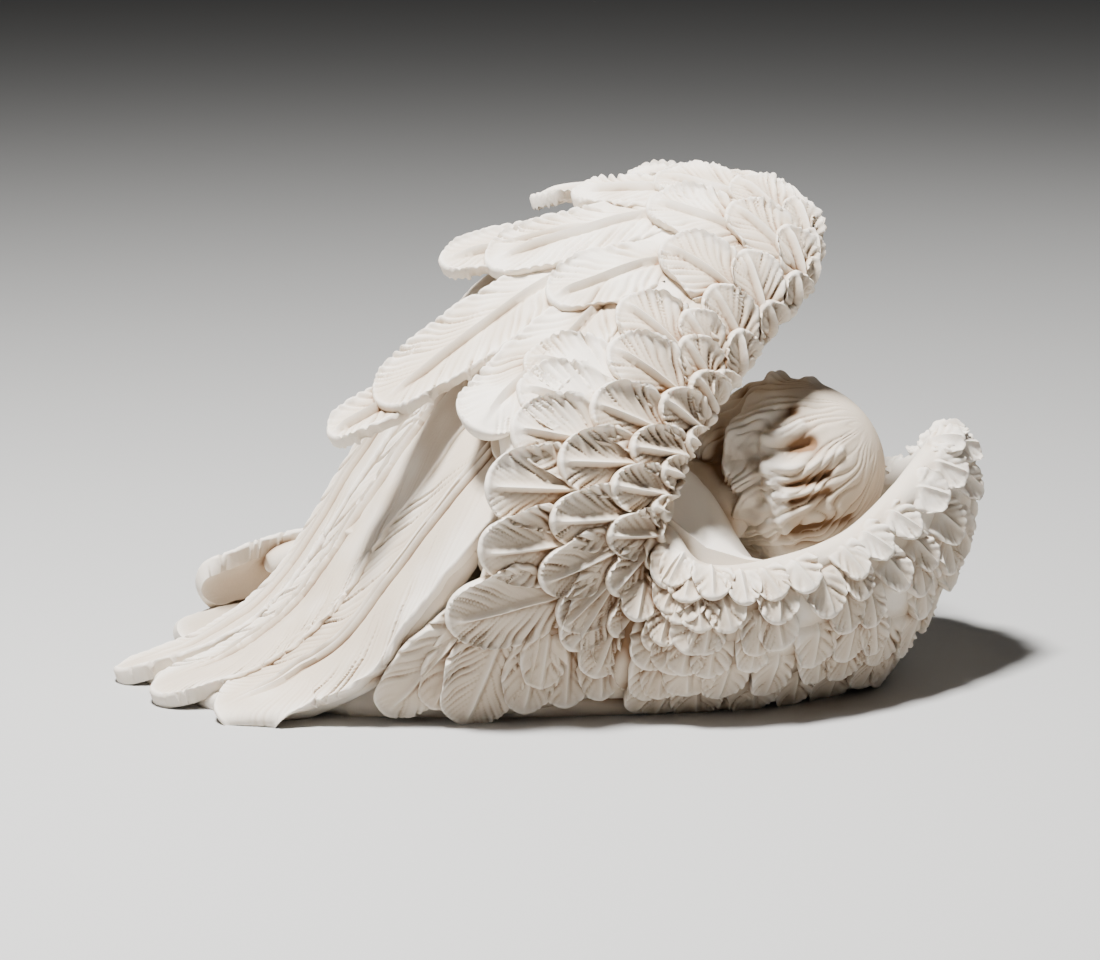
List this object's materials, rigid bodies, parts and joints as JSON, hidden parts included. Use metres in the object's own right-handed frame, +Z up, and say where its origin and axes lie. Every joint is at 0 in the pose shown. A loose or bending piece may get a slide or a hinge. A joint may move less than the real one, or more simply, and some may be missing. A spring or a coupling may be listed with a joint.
{
  "type": "angel figurine",
  "caption": "Cast figurine of a sleeping angel child curled up inside its own feathered wings, one solid piece with a flat underside.",
  "frame": {"origin": "on the flat underside, below the middle of the figurine", "axes": "+X towards the crown of the head, +Y to the far side where the face looks, +Z up"},
  "size_m": [0.198, 0.1189, 0.1141],
  "materials": {
    "plaster": "matte"
  },
  "bodies": {
    "root": {"angel_figurine": "plaster"}
  },
  "joints": []
}
